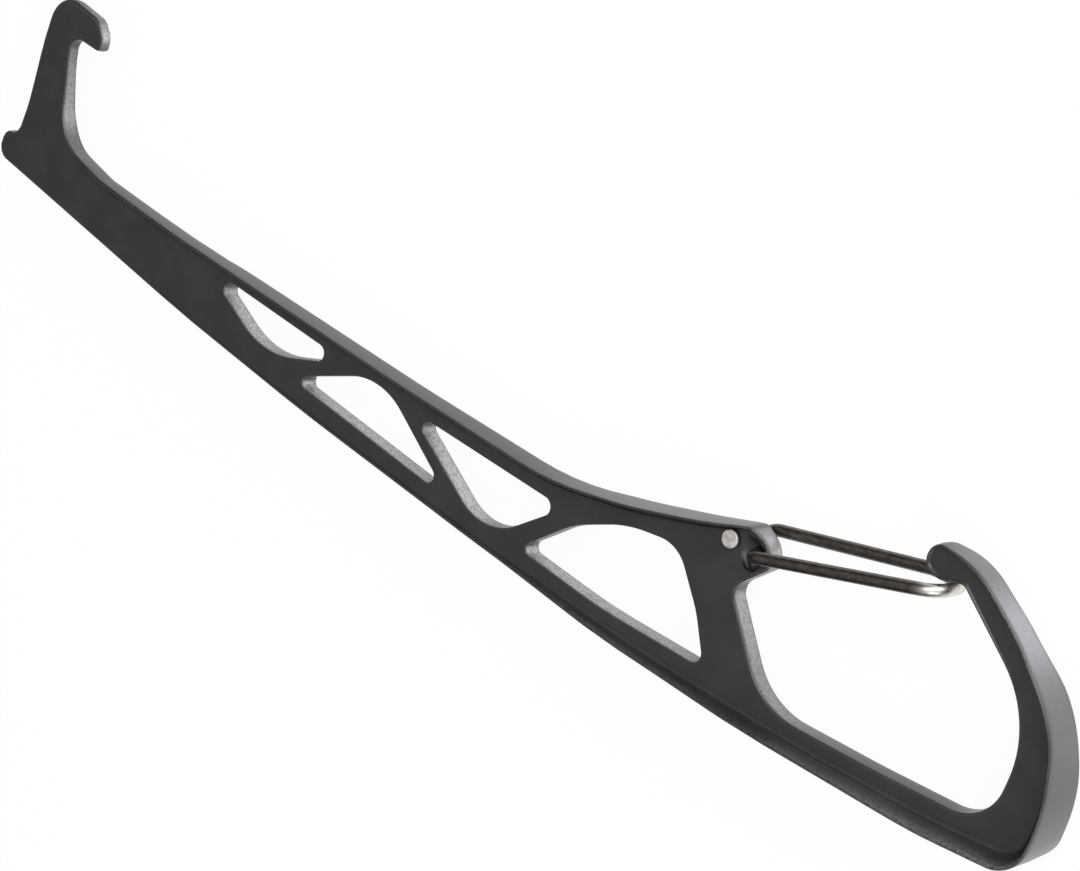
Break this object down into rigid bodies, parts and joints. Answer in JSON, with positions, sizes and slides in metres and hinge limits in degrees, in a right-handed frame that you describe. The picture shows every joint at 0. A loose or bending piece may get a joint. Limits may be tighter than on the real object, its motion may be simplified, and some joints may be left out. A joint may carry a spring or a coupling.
{
  "type": "nut tool",
  "caption": "Flat climbing nut tool with a hook and spur at one end, a windowed beam, and a clip loop closed by a sprung wire gate.",
  "frame": {"origin": "middle of the tool's outline, on the plane that the back of the heel's rim rests on", "axes": "+X from the hook to the heel, +Y towards the hook's tip and the gate, +Z out of the front face"},
  "size_m": [0.2118, 0.0376, 0.0094],
  "materials": {
    "body_metal": "satin black",
    "gate_steel": "dark spring steel"
  },
  "bodies": {
    "body": {"body": "body_metal"},
    "gate": {"gate_wire": "gate_steel"}
  },
  "joints": [
    {"name": "gate_hinge", "type": "hinge", "parent": "body", "child": "gate", "pos_m": [0.05104, 0.00364, 0.0047], "axis": [0, 0, -1], "range_deg": [0, 20], "stiffness_Nm_per_rad": 0.15, "springref_deg": -14.32}
  ]
}
